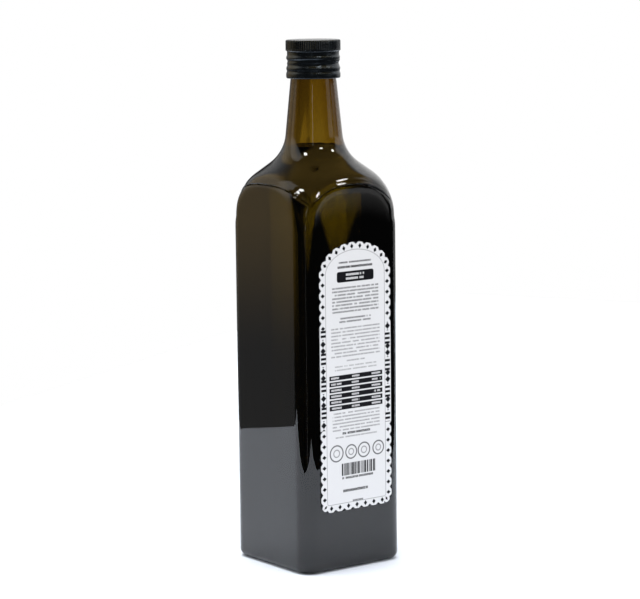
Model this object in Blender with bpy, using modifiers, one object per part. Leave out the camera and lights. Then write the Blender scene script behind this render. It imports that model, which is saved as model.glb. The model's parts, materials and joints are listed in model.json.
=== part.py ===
"""One-litre square bottle of olive oil: dark glass, filled to the neck, with a screw cap and a label.

Metres, +Z up. The origin is the centre of the base, on the surface the bottle stands on. The label faces -Y.
"""
from math import atan2, cos, pi, radians, sin, sqrt, tan

import bmesh
import bpy

MM = 0.001
GAP = 0.3 * MM

# Body: a rounded square tube
BODY_HALF = 35.8 * MM
CORNER_R = 9.5 * MM
WALL = 2.3 * MM
HEEL_R = 4.5 * MM
INNER_HEEL_R = 6.0 * MM
FLOOR_Z = 5.2 * MM

# Underside: a flat bearing ring round a shallow push-up
PUNT_R = 26.0 * MM
PUNT_DEPTH = 3.4 * MM

# Shoulder: a turned dome that the four walls cut in arches, standing slightly proud of them
DOME_WIDEST_Z = 201.5 * MM
DOME_R = 46.9 * MM
DOME_ARC_R = 32.0 * MM
SHOULDER_SLOPE = radians(54.2)
SHOULDER_STEP = 0.3 * MM
EDGE_SOFTNESS = 0.8 * MM
DOME_TOP_Z = 230.0 * MM
DOME_FLARE = 0.5
WALL_MARGIN = 4.0 * MM
ARCH_TOP_Z = 222.4 * MM
ARCH_FOOT_Z = 212.0 * MM
ARCH_ROUNDNESS = 3.2
STEP_HEIGHT = 1.0 * MM

# Neck and mouth
NECK_R = 13.2 * MM
NECK_TOP_Z = 281.0 * MM
NECK_TAPER = radians(5.8)
NECK_FILLET_R = 22.4 * MM
MOUTH_R = 10.0 * MM
LIP_Z = 302.1 * MM
LIP_ROUND = 0.8 * MM

# Oil
OIL_LEVEL_Z = 241.5 * MM

# Cap
CAP_BOTTOM_Z = 281.7 * MM
CAP_HEIGHT = 21.9 * MM
CAP_R = 15.8 * MM
CAP_BORE_R = 13.9 * MM
CAP_TOP_THICKNESS = 1.2 * MM
CAP_SEGMENTS = 72
CAP_EDGE_DROP = 0.8 * MM
CAP_CURL_R = 14.4 * MM
KNURL_BASE = 16.2 * MM
KNURL_FOOT = 16.6 * MM
KNURL_DEPTH = 0.4 * MM
KNURL_HALF_ANGLE = radians(1.6)
# Below the grip, downwards: radius and height above the cap's lower edge, in mm
CAP_BEADS = (
    (15.5, 15.6), (15.0, 15.1), (15.0, 14.4),
    (15.35, 13.6), (15.35, 11.8),
    (14.8, 10.7), (14.8, 8.6),
    (15.0, 7.9), (15.0, 6.7),
    (15.5, 6.0), (15.5, 5.2),
    (15.25, 4.7), (15.25, 4.2),
    (15.6, 3.6), (15.6, 0.9), (15.4, 0.3), (15.0, 0.0),
)

# Label
LABEL_WIDTH = 51.1 * MM
LABEL_CENTRE_X = 0.8 * MM
LABEL_BOTTOM_Z = 35.2 * MM
LABEL_SPRING_Z = 172.0 * MM
LABEL_RISE = 18.0 * MM
LABEL_CORNER_R = 5.5 * MM
LABEL_THICKNESS = 0.25 * MM

# How finely the curved surfaces are divided
FLAT_STEPS = 5
CORNER_STEPS = 5
ARC_STEPS = 6
WALL_STEPS = 3
SHOULDER_STEPS = 10
DOME_STEPS = 5
FILLET_STEPS = 4


def clear_scene():
    for item in list(bpy.data.objects):
        bpy.data.objects.remove(item, do_unlink=True)


def new_collection(name):
    collection = bpy.data.collections.new(name)
    bpy.context.scene.collection.children.link(collection)
    return collection


def make_material(name, colour, roughness, metallic=0.0, transmission=0.0):
    material = bpy.data.materials.new(name)
    material.use_nodes = True
    shader = material.node_tree.nodes["Principled BSDF"]
    shader.inputs["Base Color"].default_value = (*colour, 1.0)
    shader.inputs["Roughness"].default_value = roughness
    shader.inputs["Metallic"].default_value = metallic
    shader.inputs["Transmission Weight"].default_value = transmission
    return material


def place(name, data, collection, material=None, location=(0.0, 0.0, 0.0), rotation=(0.0, 0.0, 0.0)):
    item = bpy.data.objects.new(name, data)
    item.location = location
    item.rotation_euler = rotation
    if material:
        data.materials.append(material)
    collection.objects.link(item)
    return item


def flat_end_angle():
    """Angle from a wall's middle to where its flat part ends and the corner's round begins."""
    return atan2(BODY_HALF - CORNER_R, BODY_HALF)


def arch_foot_angle():
    """Angle from the front wall's middle to the point where a front and a side arch meet."""
    flat_end = flat_end_angle()
    return flat_end + (pi / 2 - 2 * flat_end) / CORNER_STEPS


def column_angles():
    """Angles round the bottle, from the front wall's middle, close together on the rounded corners."""
    flat_end = flat_end_angle()
    corner = pi / 2 - 2 * flat_end
    quarter = [flat_end * i / FLAT_STEPS for i in range(FLAT_STEPS)]
    quarter += [flat_end + corner * i / CORNER_STEPS for i in range(CORNER_STEPS)]
    quarter += [pi / 2 - flat_end * (FLAT_STEPS - i) / FLAT_STEPS for i in range(FLAT_STEPS)]
    half = quarter + [pi - angle for angle in reversed(quarter[1:])]
    half.insert(len(quarter), pi / 2)
    return half + [angle + pi for angle in half]


def wall_reach(angle, half, corner):
    """Distance from the axis to a rounded square of the given half width, at an angle from its front."""
    fold = angle % (pi / 2)
    fold = min(fold, pi / 2 - fold)
    centre = half - corner
    if fold <= atan2(centre, half):
        return half / cos(fold)
    off = pi / 4 - fold
    along = centre * sqrt(2.0)
    return along * cos(off) + sqrt(corner**2 - (along * sin(off)) ** 2)


def dome_top():
    """Where the dome's arc runs out into the straight slope, as radius and height."""
    centre = DOME_R - DOME_ARC_R
    return centre + DOME_ARC_R * cos(SHOULDER_SLOPE), DOME_WIDEST_Z + DOME_ARC_R * sin(SHOULDER_SLOPE)


def neck_fillet_centre():
    """Centre of the hollow arc that is tangent to the neck and to the shoulder's straight slope."""
    top_r, top_z = dome_top()
    neck = NECK_R * cos(NECK_TAPER) + NECK_TOP_Z * sin(NECK_TAPER) + NECK_FILLET_R
    slope = top_r * cos(SHOULDER_SLOPE) + top_z * sin(SHOULDER_SLOPE) + NECK_FILLET_R
    turn = sin(SHOULDER_SLOPE - NECK_TAPER)
    radius = (neck * sin(SHOULDER_SLOPE) - slope * sin(NECK_TAPER)) / turn
    height = (slope * cos(NECK_TAPER) - neck * cos(SHOULDER_SLOPE)) / turn
    return radius, height


def shoulder_radius(z, inset):
    """Radius of the turned neck and shoulder at a height, on a surface parallel to the outer one."""
    fillet_r, fillet_z = neck_fillet_centre()
    hollow = NECK_FILLET_R + inset
    arc = DOME_ARC_R - inset
    if z >= fillet_z - hollow * sin(NECK_TAPER):
        return NECK_R + (NECK_TOP_Z - z) * tan(NECK_TAPER) - inset / cos(NECK_TAPER)
    if z >= fillet_z - hollow * sin(SHOULDER_SLOPE):
        return fillet_r - sqrt(hollow**2 - (z - fillet_z) ** 2)
    dome_r = DOME_R - DOME_ARC_R
    if z >= DOME_WIDEST_Z + arc * sin(SHOULDER_SLOPE):
        top_r = dome_r + arc * cos(SHOULDER_SLOPE)
        return top_r - (z - DOME_WIDEST_Z - arc * sin(SHOULDER_SLOPE)) * tan(SHOULDER_SLOPE)
    if z >= DOME_WIDEST_Z:
        return dome_r + sqrt(arc**2 - (z - DOME_WIDEST_Z) ** 2)
    return dome_r + arc + (DOME_WIDEST_Z - z) * DOME_FLARE


def soft_min(a, b, width):
    """The smaller of two lengths, rounded where they are nearly equal."""
    near = max(width - abs(a - b), 0.0) / width
    return min(a, b) - near * near * width / 4


def glass_radius(angle, z, inset):
    """Distance from the axis to the shoulder's surface, or to one set in from it, at an angle and height."""
    walls = wall_reach(angle, BODY_HALF + SHOULDER_STEP - inset, CORNER_R + SHOULDER_STEP - inset)
    return soft_min(shoulder_radius(z, inset), walls, EDGE_SOFTNESS)


def arch_z(angle):
    """Height of the ridge under the shoulder: an arch over each wall, meeting in a point near each corner."""
    fold = angle % pi
    fold = min(fold, pi - fold)
    foot = arch_foot_angle()
    share = fold / foot if fold <= foot else (pi / 2 - fold) / (pi / 2 - foot)
    return ARCH_TOP_Z - (ARCH_TOP_Z - ARCH_FOOT_Z) * share**ARCH_ROUNDNESS


def wall_top_z(angle):
    """Height where the walls are still straight all round, just below the dome."""
    return DOME_WIDEST_Z - WALL_MARGIN


def step_top_z(angle):
    return arch_z(angle) + STEP_HEIGHT


def neck_foot_z(angle):
    """Height where the neck's straight taper ends, all round."""
    fillet_r, fillet_z = neck_fillet_centre()
    return fillet_z - NECK_FILLET_R * sin(NECK_TAPER)


def dome_top_z(angle):
    return DOME_TOP_Z


def oil_level_z(angle):
    return OIL_LEVEL_Z


def ring_point(angle, radius, z):
    return radius * sin(angle), -radius * cos(angle), z


def round_ring(radius, z):
    return [ring_point(angle, radius, z) for angle in column_angles()]


def square_ring(half, corner, z):
    return [ring_point(angle, wall_reach(angle, half, corner), z) for angle in column_angles()]


def shaped_ring(height_of, inset):
    """Ring on the shoulder's surface, or on one set in from it, whose height may change round the bottle."""
    points = []
    for angle in column_angles():
        z = height_of(angle)
        points.append(ring_point(angle, glass_radius(angle, z, inset), z))
    return points


def rings_between(low_of, high_of, steps, inset):
    """Evenly spaced rings from just above one height rule up to another."""
    rings = []
    for step in range(1, steps + 1):
        share = step / steps

        def height(angle):
            return low_of(angle) * (1 - share) + high_of(angle) * share

        rings.append(shaped_ring(height, inset))
    return rings


def heel_rings(half, corner, heel, floor_z):
    """Rings of a rounded lower edge, from the floor up to the straight wall."""
    rings = []
    for step in range(ARC_STEPS):
        turn = pi / 2 * (1 - step / ARC_STEPS)
        inset = heel * (1 - cos(turn))
        rings.append(square_ring(half - inset, max(corner - inset, MM), floor_z + heel * (1 - sin(turn))))
    rings.append(square_ring(half, corner, floor_z + heel))
    return rings


def loft(name, rings):
    """Closed skin through rings of equal length, from a first point on the axis to a last one."""
    columns = len(rings[1])
    mesh_bm = bmesh.new()
    rows = [[mesh_bm.verts.new(point) for point in ring] for ring in rings]
    for low, high in zip(rows, rows[1:]):
        for i in range(columns):
            j = (i + 1) % columns
            if len(low) == 1:
                mesh_bm.faces.new((low[0], high[j], high[i]))
            elif len(high) == 1:
                mesh_bm.faces.new((low[i], low[j], high[0]))
            elif (low[i].co - high[j].co).length <= (low[j].co - high[i].co).length:
                mesh_bm.faces.new((low[i], low[j], high[j]))
                mesh_bm.faces.new((low[i], high[j], high[i]))
            else:
                mesh_bm.faces.new((low[i], low[j], high[i]))
                mesh_bm.faces.new((low[j], high[j], high[i]))
    mesh = bpy.data.meshes.new(name)
    mesh_bm.to_mesh(mesh)
    mesh_bm.free()
    mesh.shade_smooth()
    mesh.set_sharp_from_angle(angle=radians(35))
    return mesh


def outer_glass_rings():
    """The bottle's outside, from the middle of the underside up to the lip."""
    rings = [[(0.0, 0.0, PUNT_DEPTH)]]
    rings.append(round_ring(PUNT_R * 0.45, PUNT_DEPTH * 0.85))
    rings.append(round_ring(PUNT_R * 0.85, PUNT_DEPTH * 0.4))
    rings.append(round_ring(PUNT_R, 0.0))
    rings += heel_rings(BODY_HALF, CORNER_R, HEEL_R, 0.0)
    rings.append(shaped_ring(wall_top_z, SHOULDER_STEP))
    rings += rings_between(wall_top_z, arch_z, WALL_STEPS, SHOULDER_STEP)
    rings.append(shaped_ring(step_top_z, 0.0))
    rings += rings_between(step_top_z, neck_foot_z, SHOULDER_STEPS, 0.0)
    rings.append(round_ring(NECK_R, NECK_TOP_Z))
    rings.append(round_ring(NECK_R, LIP_Z - LIP_ROUND))
    rings.append(round_ring(NECK_R - LIP_ROUND, LIP_Z))
    return rings


def cavity_rings(inset, floor_z, top_of):
    """The bottle's inside, or the oil in it, from the middle of the floor up to a height."""
    half = BODY_HALF + SHOULDER_STEP - inset
    corner = CORNER_R + SHOULDER_STEP - inset
    rings = [[(0.0, 0.0, floor_z + PUNT_DEPTH * 0.6)]]
    rings.append(round_ring(PUNT_R * 0.6, floor_z + PUNT_DEPTH * 0.4))
    rings += heel_rings(half, corner, INNER_HEEL_R, floor_z)

    def crease_z(angle):
        """Height where the inner dome meets the inner wall."""
        arc = DOME_ARC_R - inset
        share = (wall_reach(angle, half, corner) - (DOME_R - DOME_ARC_R)) / arc
        return DOME_WIDEST_Z + arc * sqrt(max(1.0 - share**2, 0.0))

    rings.append(shaped_ring(wall_top_z, inset))
    rings += rings_between(wall_top_z, crease_z, WALL_STEPS, inset)
    rings += rings_between(crease_z, dome_top_z, DOME_STEPS, inset)
    rings += rings_between(dome_top_z, top_of, FILLET_STEPS, inset)
    return rings


def make_glass(collection):
    """Glass shell: outside up to the lip, then down the mouth and the inside to the floor."""
    inset = SHOULDER_STEP + WALL
    rings = outer_glass_rings()
    rings.append(round_ring(MOUTH_R + LIP_ROUND, LIP_Z))
    rings.append(round_ring(MOUTH_R, LIP_Z - LIP_ROUND))
    rings.append(round_ring(MOUTH_R, NECK_TOP_Z))
    rings += reversed(cavity_rings(inset, FLOOR_Z, neck_foot_z))
    glass = make_material("dark_green_glass", (0.05, 0.055, 0.02), 0.05, transmission=0.6)
    return place("glass_bottle", loft("glass_bottle", rings), collection, glass)


def make_oil(collection):
    """The oil: the inside of the bottle up to its level, a small gap short of the glass."""
    inset = SHOULDER_STEP + WALL + GAP
    rings = cavity_rings(inset, FLOOR_Z + GAP, oil_level_z)
    rings.append([(0.0, 0.0, OIL_LEVEL_Z)])
    oil = make_material("olive_oil", (0.45, 0.33, 0.02), 0.05, transmission=0.6)
    return place("oil", loft("oil", rings), collection, oil)


def cap_profile():
    """Half section of the cap, from the middle of its top down the outside and back up the inside."""
    top = CAP_HEIGHT
    inner_top = top - CAP_TOP_THICKNESS
    outside = [(0.0, top), (CAP_R - 1.5 * CAP_EDGE_DROP, top)]
    outside += [(CAP_R - CAP_EDGE_DROP / 2, top - CAP_EDGE_DROP / 4), (CAP_R, top - CAP_EDGE_DROP)]
    outside += [(CAP_R, KNURL_BASE)]
    outside += [(radius * MM, height * MM) for radius, height in CAP_BEADS]
    step = CAP_CURL_R - CAP_BORE_R
    inside = [(CAP_CURL_R, 0.0), (CAP_BORE_R, step), (CAP_BORE_R, inner_top - step)]
    inside += [(CAP_BORE_R - step, inner_top), (0.0, inner_top)]
    return outside + inside


def profile_mesh(name, points):
    mesh = bpy.data.meshes.new(name)
    places = [(radius, 0.0, z) for radius, z in points]
    edges = [(i, i + 1) for i in range(len(points) - 1)]
    mesh.from_pydata(places, edges, [])
    return mesh


def knurl_cutter_mesh():
    """A ring of three-sided prisms, point inward, that cut the grip's grooves."""
    mesh_bm = bmesh.new()
    reach = CAP_R + KNURL_DEPTH
    for tooth in range(CAP_SEGMENTS):
        middle = 2 * pi * (tooth + 0.5) / CAP_SEGMENTS
        right = middle - KNURL_HALF_ANGLE
        left = middle + KNURL_HALF_ANGLE
        section = [(CAP_R - KNURL_DEPTH, middle), (reach, left), (reach, right)]
        flat = [(radius * cos(turn), radius * sin(turn)) for radius, turn in section]
        low = [mesh_bm.verts.new((x, y, KNURL_FOOT)) for x, y in flat]
        high = [mesh_bm.verts.new((x, y, CAP_HEIGHT + MM)) for x, y in flat]
        mesh_bm.faces.new((low[0], low[2], low[1]))
        mesh_bm.faces.new(high)
        for i in range(3):
            j = (i + 1) % 3
            mesh_bm.faces.new((low[i], low[j], high[j], high[i]))
    bmesh.ops.recalc_face_normals(mesh_bm, faces=mesh_bm.faces)
    mesh = bpy.data.meshes.new("knurl_cutter")
    mesh_bm.to_mesh(mesh)
    mesh_bm.free()
    return mesh


def make_cap(collection, cutters):
    """Rolled metal screw cap: a turned cup with a grooved grip, beads and a curled lower edge."""
    black = make_material("black_enamel", (0.012, 0.014, 0.013), 0.38, metallic=0.3)
    location = (0.0, 0.0, CAP_BOTTOM_Z)
    cap = place("cap", profile_mesh("cap", cap_profile()), collection, black, location)
    turn = cap.modifiers.new("turn", "SCREW")
    turn.axis = "Z"
    turn.steps = turn.render_steps = CAP_SEGMENTS
    turn.use_merge_vertices = True
    turn.merge_threshold = 0.00001
    turn.use_smooth_shade = True
    cutter = place("knurl_cutter", knurl_cutter_mesh(), cutters, location=location)
    cutter.hide_render = True
    cutter.display_type = "WIRE"
    grip = cap.modifiers.new("grip", "BOOLEAN")
    grip.operation = "DIFFERENCE"
    grip.solver = "EXACT"
    grip.object = cutter
    return cap


def label_outline():
    """The label's outline in its own plane: rounded lower corners and a flattened arch on top."""
    half = LABEL_WIDTH / 2
    height = LABEL_SPRING_Z - LABEL_BOTTOM_Z
    points = []
    for side, start in ((1, -pi / 2), (-1, pi)):
        for step in range(ARC_STEPS + 1):
            turn = start + pi / 2 * step / ARC_STEPS
            x = side * (half - LABEL_CORNER_R) + LABEL_CORNER_R * cos(turn)
            points.append((x, LABEL_CORNER_R + LABEL_CORNER_R * sin(turn)))
    arch = []
    for step in range(4 * ARC_STEPS + 1):
        turn = pi * step / (4 * ARC_STEPS)
        arch.append((half * cos(turn), height + LABEL_RISE * sin(turn)))
    right = points[: ARC_STEPS + 1]
    left = points[ARC_STEPS + 1 :]
    return right + arch + left


def make_label(collection):
    """Paper label on the front wall: a thin plate with an arched top."""
    outline = label_outline()
    curve = bpy.data.curves.new("label", "CURVE")
    curve.dimensions = "2D"
    curve.fill_mode = "BOTH"
    curve.extrude = LABEL_THICKNESS / 2
    spline = curve.splines.new("POLY")
    spline.points.add(len(outline) - 1)
    for point, (x, y) in zip(spline.points, outline):
        point.co = (x, y, 0.0, 1.0)
    spline.use_cyclic_u = True
    paper = make_material("white_paper", (0.86, 0.87, 0.88), 0.5)
    front = -(BODY_HALF + GAP + LABEL_THICKNESS / 2)
    location = (LABEL_CENTRE_X, front, LABEL_BOTTOM_Z)
    return place("label", curve, collection, paper, location, (pi / 2, 0.0, 0.0))


def main():
    clear_scene()
    bottle = new_collection("olive_oil_bottle")
    cutters = new_collection("cutters")
    make_glass(bottle)
    make_oil(bottle)
    make_cap(bottle, cutters)
    make_label(bottle)


main()
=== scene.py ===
"""A bottle of olive oil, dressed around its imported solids: dark glass, oil, screw cap and printed label.

Metres, +Z up, the origin at the centre of the base, the label towards -Y.
"""
import json
from math import atan2, cos, exp, pi, radians, sin, sqrt, tan

import bpy
import numpy as np
from mathutils import Matrix, Vector

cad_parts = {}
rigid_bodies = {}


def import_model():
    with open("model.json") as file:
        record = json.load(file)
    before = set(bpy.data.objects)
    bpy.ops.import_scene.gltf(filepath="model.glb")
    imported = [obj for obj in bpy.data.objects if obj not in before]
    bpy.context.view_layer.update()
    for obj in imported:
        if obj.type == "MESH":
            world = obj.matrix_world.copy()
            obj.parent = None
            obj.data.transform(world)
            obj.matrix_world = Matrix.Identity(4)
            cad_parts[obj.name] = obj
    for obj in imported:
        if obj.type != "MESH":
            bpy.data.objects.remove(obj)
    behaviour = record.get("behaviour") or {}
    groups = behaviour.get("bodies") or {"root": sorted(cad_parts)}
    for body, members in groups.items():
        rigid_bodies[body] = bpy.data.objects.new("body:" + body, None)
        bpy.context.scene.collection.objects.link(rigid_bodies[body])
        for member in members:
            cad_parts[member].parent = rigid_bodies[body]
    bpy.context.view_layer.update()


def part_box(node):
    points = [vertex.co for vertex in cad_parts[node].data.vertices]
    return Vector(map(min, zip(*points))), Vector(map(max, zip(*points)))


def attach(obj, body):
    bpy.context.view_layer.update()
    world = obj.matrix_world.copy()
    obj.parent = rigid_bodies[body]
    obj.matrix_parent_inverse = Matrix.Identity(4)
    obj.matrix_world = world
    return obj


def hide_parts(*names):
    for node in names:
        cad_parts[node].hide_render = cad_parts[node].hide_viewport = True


bl_info = {
    "name": "Olive oil bottle",
    "version": (1, 0, 0),
    "blender": (4, 5, 0),
    "location": "3D View > Sidebar > Bottle",
    "description": "Makes the glass, oil, cap and label of a square oil bottle",
    "category": "Add Mesh",
}

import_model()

MM = 0.001
WHITE = (1.0, 1.0, 1.0, 1.0)
BLACK = (0.0, 0.0, 0.0, 1.0)

# Body of the bottle: a rounded square tube, as in the solids
GLASS_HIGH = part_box("glass_bottle")[1]
SHOULDER_STEP = 0.3 * MM
BODY_HALF = GLASS_HIGH.x - SHOULDER_STEP
CORNER_R = 9.5 * MM
HEEL_R = 4.5 * MM
INNER_HEEL_R = 6.0 * MM
FLOOR_Z = 5.2 * MM
PUNT_R = 26.0 * MM
PUNT_DEPTH = 3.4 * MM
PUNT_ROUNDNESS = 2.2
PUNT_STEPS = 10
INNER_PUNT_SHARE = 0.6
INNER_PUNT_STEPS = 7

# Shoulder: a turned dome that the four walls cut in arches
DOME_WIDEST_Z = 201.5 * MM
DOME_R = 46.9 * MM
DOME_ARC_R = 32.0 * MM
SHOULDER_SLOPE = radians(54.2)
DOME_FLARE = 0.5
EDGE_SOFTNESS = 2.0 * MM
WALL_SOFTNESS = 4.0 * MM
WALL_MARGIN = 4.0 * MM
DOME_SPLIT_Z = 232.0 * MM
ARCH_TOP_Z = 222.4 * MM
ARCH_FOOT_Z = 212.0 * MM
ARCH_ROUNDNESS = 3.2
STEP_HEIGHT = 0.55 * MM
CREST_DEPTH = 0.14 * MM
CREST_WIDTH = 1.3 * MM
CREST_END = 4.0 * MM
GROOVE_DEPTH = 0.5 * MM
GROOVE_HALF = 0.5 * MM
GROOVE_DROP = 0.3 * MM
LEAN_HEIGHT = 26.0 * MM
LEAN_DEPTH = 0.3 * MM
LEAN_END = 8.0 * MM

# Neck and mouth
NECK_R = 13.2 * MM
NECK_TOP_Z = 281.0 * MM
NECK_TAPER = radians(5.8)
NECK_FILLET_R = 22.4 * MM
MOUTH_R = 10.0 * MM
LIP_Z = GLASS_HIGH.z
LIP_ROUND = 0.8 * MM
LIP_STEPS = 6
MOUTH_STEPS = 4
NECK_STEPS = 8

# Oil
OIL_REACH = 0.1 * MM
MENISCUS_FALL = 1.3 * MM
SURFACE_STEPS = 24
SURFACE_SPACING = 1.6

# Cap
CAP_LOW, CAP_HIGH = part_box("cap")
CAP_BOTTOM_Z = CAP_LOW.z
CAP_HEIGHT = CAP_HIGH.z - CAP_LOW.z
CAP_R = 15.8 * MM
CAP_BORE_R = 13.9 * MM
CAP_EDGE_R = 0.9 * MM
CAP_EDGE_STEPS = 6
CAP_SHEET = 1.2 * MM

# Label
LABEL_LOW, LABEL_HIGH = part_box("label")
LABEL_CENTRE_X = (LABEL_LOW.x + LABEL_HIGH.x) / 2
LABEL_HALF = (LABEL_HIGH.x - LABEL_LOW.x) / 2
LABEL_SPRING_Z = 172.0 * MM
LABEL_CORNER_R = 5.5 * MM
LABEL_BAND = 4.3 * MM
BORDER_DEPTH = LABEL_BAND + 0.4 * MM

# Columns round the bottle in each quarter: flat, corner, flat
FLAT_COLUMNS = 14
CORNER_COLUMNS = 25


class GlassSettings(bpy.types.PropertyGroup):
    wall: bpy.props.FloatProperty(
        name="Wall",
        description="Thickness of the glass",
        default=2.3 * MM,
        unit="LENGTH",
    )
    clear: bpy.props.FloatVectorProperty(
        name="Clear colour",
        description="Colour that the glass lets through",
        default=(0.712, 0.624, 0.2),
        subtype="COLOR",
    )
    density: bpy.props.FloatProperty(
        name="Density",
        description="How quickly the glass takes up light, for each metre",
        default=1250.0,
    )
    streaks: bpy.props.FloatProperty(
        name="Streaks",
        description="Unevenness of the neck's inside",
        default=0.22 * MM,
        unit="LENGTH",
    )


class OilSettings(bpy.types.PropertyGroup):
    clear: bpy.props.FloatVectorProperty(
        name="Clear colour",
        description="Colour that the oil lets through",
        default=(0.70, 0.717, 0.0),
        subtype="COLOR",
    )
    density: bpy.props.FloatProperty(
        name="Density",
        description="How quickly the oil takes up light, for each metre",
        default=60.0,
    )
    meniscus: bpy.props.FloatProperty(
        name="Meniscus",
        description="How far the oil climbs up the glass",
        default=1.4 * MM,
        unit="LENGTH",
    )


class CapSettings(bpy.types.PropertyGroup):
    enamel: bpy.props.FloatVectorProperty(
        name="Enamel",
        description="Colour of the cap",
        default=(0.0015, 0.0019, 0.0023),
        subtype="COLOR",
    )
    teeth: bpy.props.IntProperty(
        name="Teeth",
        description="Grooves round the grip",
        default=72,
    )
    groove: bpy.props.FloatProperty(
        name="Groove",
        description="Depth of the grip's grooves",
        default=0.4 * MM,
        unit="LENGTH",
    )


class LabelSettings(bpy.types.PropertyGroup):
    paper: bpy.props.FloatVectorProperty(
        name="Paper",
        description="Colour of the paper",
        default=(0.67, 0.67, 0.68),
        subtype="COLOR",
    )
    ink: bpy.props.FloatVectorProperty(
        name="Ink",
        description="Colour of the print",
        default=(0.006, 0.006, 0.008),
        subtype="COLOR",
    )


class StageSettings(bpy.types.PropertyGroup):
    floor: bpy.props.FloatVectorProperty(
        name="Floor",
        description="Colour of the floor",
        default=(0.81, 0.86, 0.95),
        subtype="COLOR",
    )
    lens: bpy.props.FloatProperty(
        name="Lens",
        description="Focal length of the camera on a 36 mm sensor",
        default=139.194,
        unit="CAMERA",
    )


class Wire:
    """One value of a node tree. Arithmetic on it adds Math nodes."""

    def __init__(self, graph, socket):
        self.graph = graph
        self.socket = socket

    def math(self, operation, *values):
        return self.graph.node("ShaderNodeMath", {"operation": operation}, dict(enumerate(values)))

    def __add__(self, other):
        return self.math("ADD", self, other)

    def __sub__(self, other):
        return self.math("SUBTRACT", self, other)

    def __rsub__(self, other):
        return self.math("SUBTRACT", other, self)

    def __mul__(self, other):
        return self.math("MULTIPLY", self, other)

    def __truediv__(self, other):
        return self.math("DIVIDE", self, other)

    __radd__ = __add__
    __rmul__ = __mul__

    def abs(self):
        return self.math("ABSOLUTE", self)

    def floor(self):
        return self.math("FLOOR", self)

    def fract(self):
        return self.math("FRACT", self)

    def at_least(self, other):
        return self.math("MAXIMUM", self, other)

    def sqrt(self):
        return self.math("SQRT", self)


class Graph:
    """A node tree, filled through one method."""

    def __init__(self, owner):
        owner.use_nodes = True
        self.tree = owner.node_tree
        self.tree.nodes.clear()

    def node(self, kind, settings=None, sockets=None, output=0):
        made = self.tree.nodes.new(kind)
        for name, value in (settings or {}).items():
            setattr(made, name, value)
        for name, value in (sockets or {}).items():
            if isinstance(value, Wire):
                self.tree.links.new(value.socket, made.inputs[name])
            else:
                made.inputs[name].default_value = value
        return Wire(self, made.outputs[output]) if made.outputs else made

    def ramp(self, value, low, high):
        """Rises smoothly from 0 at low to 1 at high."""
        sockets = {"Value": value, "From Min": low, "From Max": high}
        return self.node("ShaderNodeMapRange", {"interpolation_type": "SMOOTHSTEP"}, sockets)

    def mix(self, factor, low, high):
        """Colour between two colours, by the sockets that the node has for colours."""
        return self.node("ShaderNodeMix", {"data_type": "RGBA"}, {0: factor, 6: low, 7: high}, output=2)

    def place(self):
        """Object coordinates."""
        return self.node("ShaderNodeTexCoord", output="Object")

    def bump(self, height, strength, distance):
        sockets = {"Strength": strength, "Distance": distance, "Height": height}
        return self.node("ShaderNodeBump", None, sockets)

    def split(self, vector):
        node = self.node("ShaderNodeSeparateXYZ", None, {"Vector": vector}).socket.node
        return [Wire(self, socket) for socket in node.outputs]

    def join(self, x, y, z):
        return self.node("ShaderNodeCombineXYZ", None, {"X": x, "Y": y, "Z": z})

    def noise(self, vector, scale, detail=2.0, roughness=0.5):
        sockets = {"Vector": vector, "Scale": scale, "Detail": detail, "Roughness": roughness}
        return self.node("ShaderNodeTexNoise", None, sockets)


def clear_selection():
    for item in bpy.context.view_layer.objects:
        item.select_set(False)


def flat_end_angle():
    return atan2(BODY_HALF - CORNER_R, BODY_HALF)


def arch_foot_angle():
    """Angle from the front wall's middle to the point where a front and a side arch meet."""
    flat_end = flat_end_angle()
    return flat_end + (pi / 2 - 2 * flat_end) / 5


def column_angles():
    """Angles round the bottle, from the front wall's middle, close together on the rounded corners."""
    flat_end = flat_end_angle()
    corner = pi / 2 - 2 * flat_end
    quarter = [flat_end * i / FLAT_COLUMNS for i in range(FLAT_COLUMNS)]
    quarter += [flat_end + corner * i / CORNER_COLUMNS for i in range(CORNER_COLUMNS)]
    quarter += [pi / 2 - flat_end * (FLAT_COLUMNS - i) / FLAT_COLUMNS for i in range(FLAT_COLUMNS)]
    half = quarter + [pi - angle for angle in reversed(quarter[1:])]
    half.insert(len(quarter), pi / 2)
    return half + [angle + pi for angle in half]


ANGLES = column_angles()


def wall_reach(angle, half, corner):
    """Distance from the axis to a rounded square of the given half width, at an angle from its front."""
    fold = angle % (pi / 2)
    fold = min(fold, pi / 2 - fold)
    centre = half - corner
    if fold <= atan2(centre, half):
        return half / cos(fold)
    off = pi / 4 - fold
    along = centre * sqrt(2.0)
    return along * cos(off) + sqrt(corner**2 - (along * sin(off)) ** 2)


def neck_fillet_centre():
    """Centre of the hollow arc that is tangent to the neck and to the shoulder's straight slope."""
    top_r = DOME_R - DOME_ARC_R + DOME_ARC_R * cos(SHOULDER_SLOPE)
    top_z = DOME_WIDEST_Z + DOME_ARC_R * sin(SHOULDER_SLOPE)
    neck = NECK_R * cos(NECK_TAPER) + NECK_TOP_Z * sin(NECK_TAPER) + NECK_FILLET_R
    slope = top_r * cos(SHOULDER_SLOPE) + top_z * sin(SHOULDER_SLOPE) + NECK_FILLET_R
    turn = sin(SHOULDER_SLOPE - NECK_TAPER)
    radius = (neck * sin(SHOULDER_SLOPE) - slope * sin(NECK_TAPER)) / turn
    height = (slope * cos(NECK_TAPER) - neck * cos(SHOULDER_SLOPE)) / turn
    return radius, height


FILLET_CENTRE_R, FILLET_CENTRE_Z = neck_fillet_centre()
NECK_FOOT_Z = FILLET_CENTRE_Z - NECK_FILLET_R * sin(NECK_TAPER)


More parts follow.
